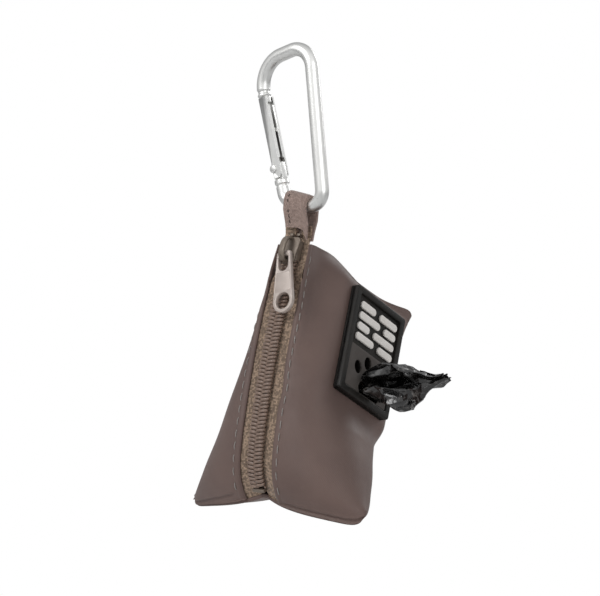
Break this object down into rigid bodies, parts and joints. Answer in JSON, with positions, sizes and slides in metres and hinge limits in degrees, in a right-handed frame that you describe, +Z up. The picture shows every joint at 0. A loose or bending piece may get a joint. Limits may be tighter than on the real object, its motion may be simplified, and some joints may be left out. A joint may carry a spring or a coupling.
{
  "type": "dog waste bag dispenser",
  "caption": "Tetrahedral fabric pouch that hangs from a snap hook, holds a roll of waste bags and feeds them through a paw-shaped outlet beside a curved zip.",
  "frame": {"origin": "the hang point: the inside of the top bend of the snap hook, on the rod's lowest line there, straight above the webbing loop", "axes": "+Z up as it hangs; the zip faces -Y and the outlet plate faces +X; the snap hook lies in the X-Z plane with its gate on the -X side"},
  "size_m": [0.107, 0.0967, 0.1793],
  "materials": {
    "aluminium": "satin, tumbled",
    "steel": "plain",
    "webbing": "woven strap with stitched edges",
    "dark_thread": "sewing thread",
    "coated_fabric": "smooth coated cloth with a soft sheen",
    "pale_thread": "sewing thread",
    "binding": "narrow binding tape",
    "zip_tape": "woven, speckled",
    "zip_coil": "nylon coil",
    "zip_metal": "semi-gloss",
    "tab_enamel": "smooth enamel",
    "black_rubber": "matt moulded",
    "grey_panel": "fine grain",
    "raised_white": "smooth raised print",
    "card": "plain",
    "bag_film": "thin crinkled film"
  },
  "bodies": {
    "hook": {"carabiner_body": "aluminium", "gate_rivet": "steel"},
    "gate": {"carabiner_gate": "aluminium", "gate_spring": "steel"},
    "plunger": {"gate_plunger": "steel"},
    "pouch": {"strap_loop": "webbing", "strap_stitches": "dark_thread", "pouch_shell": "coated_fabric", "topstitch_left": "pale_thread", "topstitch_right": "pale_thread", "top_seam_binding": "binding", "bottom_seam_binding": "binding", "zip_tape_left": "zip_tape", "zip_tape_right": "zip_tape", "zip_coil_left": "zip_coil", "zip_coil_right": "zip_coil", "zip_top_stops": "zip_metal", "zip_bottom_stop": "zip_metal", "outlet_plate": "black_rubber", "outlet_panel": "grey_panel", "outlet_bars": "raised_white", "bag_web": "bag_film"},
    "slider": {"slider_body": "zip_metal"},
    "tab": {"pull_tab": "tab_enamel"},
    "roll": {"roll_core": "card", "bag_roll": "bag_film"},
    "tail": {"bag_tail": "bag_film"}
  },
  "joints": [
    {"name": "gate_hinge", "type": "hinge", "parent": "hook", "child": "gate", "pos_m": [-0.00942, 0, -0.0429], "axis": [0, 1, 0], "range_deg": [0, 25], "stiffness_Nm_per_rad": 0.01, "springref_deg": -28.65},
    {"name": "plunger_slide", "type": "slide", "parent": "gate", "child": "plunger", "axis": [-0.2588, 0, 0.9659], "range_m": [0, 0.0013], "deforming": ["gate_spring"]},
    {"name": "strap_swing", "type": "hinge", "parent": "hook", "child": "pouch", "pos_m": [0.0023, 0, -0.05618], "axis": [0.9781, 0, -0.2079], "range_deg": [-30, 30]},
    {"name": "slider_travel", "type": "hinge", "parent": "pouch", "child": "slider", "pos_m": [0.0023, 0.3438, -0.21166], "axis": [1, 0, 0], "range_deg": [0, 10.16]},
    {"name": "tab_flip", "type": "hinge", "parent": "slider", "child": "tab", "pos_m": [0.0023, -0.00914, -0.07549], "axis": [-0.9724, -0.0699, -0.2227], "range_deg": [0, 140]},
    {"name": "roll_spin", "type": "hinge", "parent": "pouch", "child": "roll", "pos_m": [0.0037, -0.00485, -0.13388], "axis": [0, 0.225, 0.9744], "range_deg": [0, 121.4]},
    {"name": "bag_pull", "type": "slide", "parent": "pouch", "child": "tail", "axis": [0.989, 0.0671, 0.1317], "range_m": [0, 0.0251]}
  ],
  "couplings": [
    {"joint": "plunger_slide", "follows": "gate_hinge", "m_per_rad": 0.00275},
    {"joint": "bag_pull", "follows": "roll_spin", "m_per_rad": 0.0118}
  ]
}
